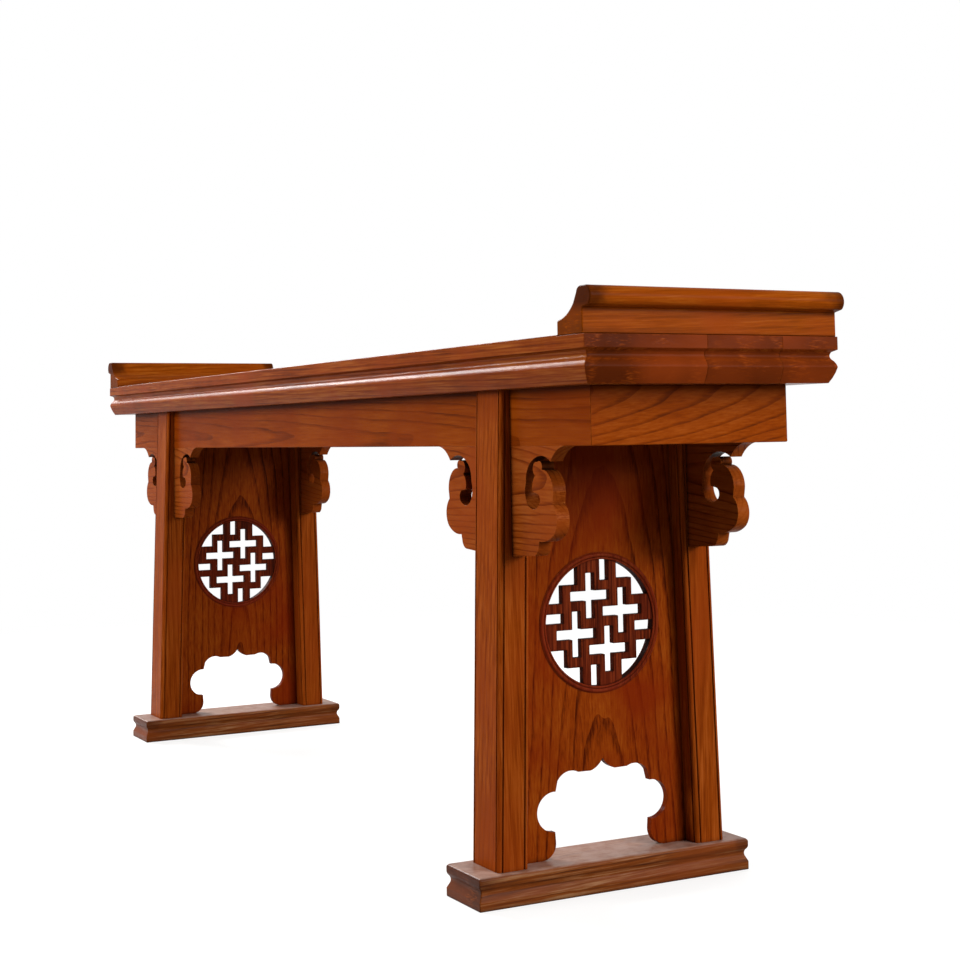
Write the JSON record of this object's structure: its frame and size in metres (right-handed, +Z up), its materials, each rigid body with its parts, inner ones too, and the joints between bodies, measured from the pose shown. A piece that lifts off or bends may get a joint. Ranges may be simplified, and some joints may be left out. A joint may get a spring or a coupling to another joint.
{
  "type": "chinese altar table",
  "caption": "Long altar table with everted end flanges, moulded top, cloud spandrels, recessed legs on sledge feet and end panels with a round fret.",
  "frame": {"origin": "on the floor, midway between the four legs", "axes": "+X along the table to the right, +Y to the rear, the front faces -Y, +Z up"},
  "size_m": [2.4782, 0.498, 0.926],
  "materials": {
    "elm_top": "glossy red-brown lacquer",
    "elm_flange": "glossy red-brown lacquer",
    "elm_apron": "glossy red-brown lacquer",
    "elm_spandrel": "glossy red-brown lacquer",
    "elm_leg": "glossy red-brown lacquer",
    "elm_foot": "glossy red-brown lacquer",
    "elm_panel": "glossy red-brown lacquer",
    "elm_fret": "glossy red-brown lacquer",
    "elm_hidden": "unfinished wood"
  },
  "bodies": {
    "root": {"front_apron": "elm_apron", "front_joint_tongue": "elm_hidden", "front_left_leg": "elm_leg", "front_left_spandrel": "elm_spandrel", "front_right_leg": "elm_leg", "front_right_spandrel": "elm_spandrel", "left_batten": "elm_hidden", "left_end_apron": "elm_apron", "left_end_panel": "elm_panel", "left_flange": "elm_flange", "left_foot": "elm_foot", "left_fret": "elm_fret", "left_fret_inner_ring": "elm_fret", "left_fret_outer_ring": "elm_fret", "left_top_rail": "elm_hidden", "middle_batten": "elm_hidden", "rear_apron": "elm_apron", "rear_joint_tongue": "elm_hidden", "rear_left_leg": "elm_leg", "rear_left_spandrel": "elm_spandrel", "rear_right_leg": "elm_leg", "rear_right_spandrel": "elm_spandrel", "right_batten": "elm_hidden", "right_end_apron": "elm_apron", "right_end_panel": "elm_panel", "right_flange": "elm_flange", "right_foot": "elm_foot", "right_fret": "elm_fret", "right_fret_inner_ring": "elm_fret", "right_fret_outer_ring": "elm_fret", "right_top_rail": "elm_hidden", "top_front_board": "elm_top", "top_middle_board": "elm_top", "top_rear_board": "elm_top"}
  },
  "joints": []
}
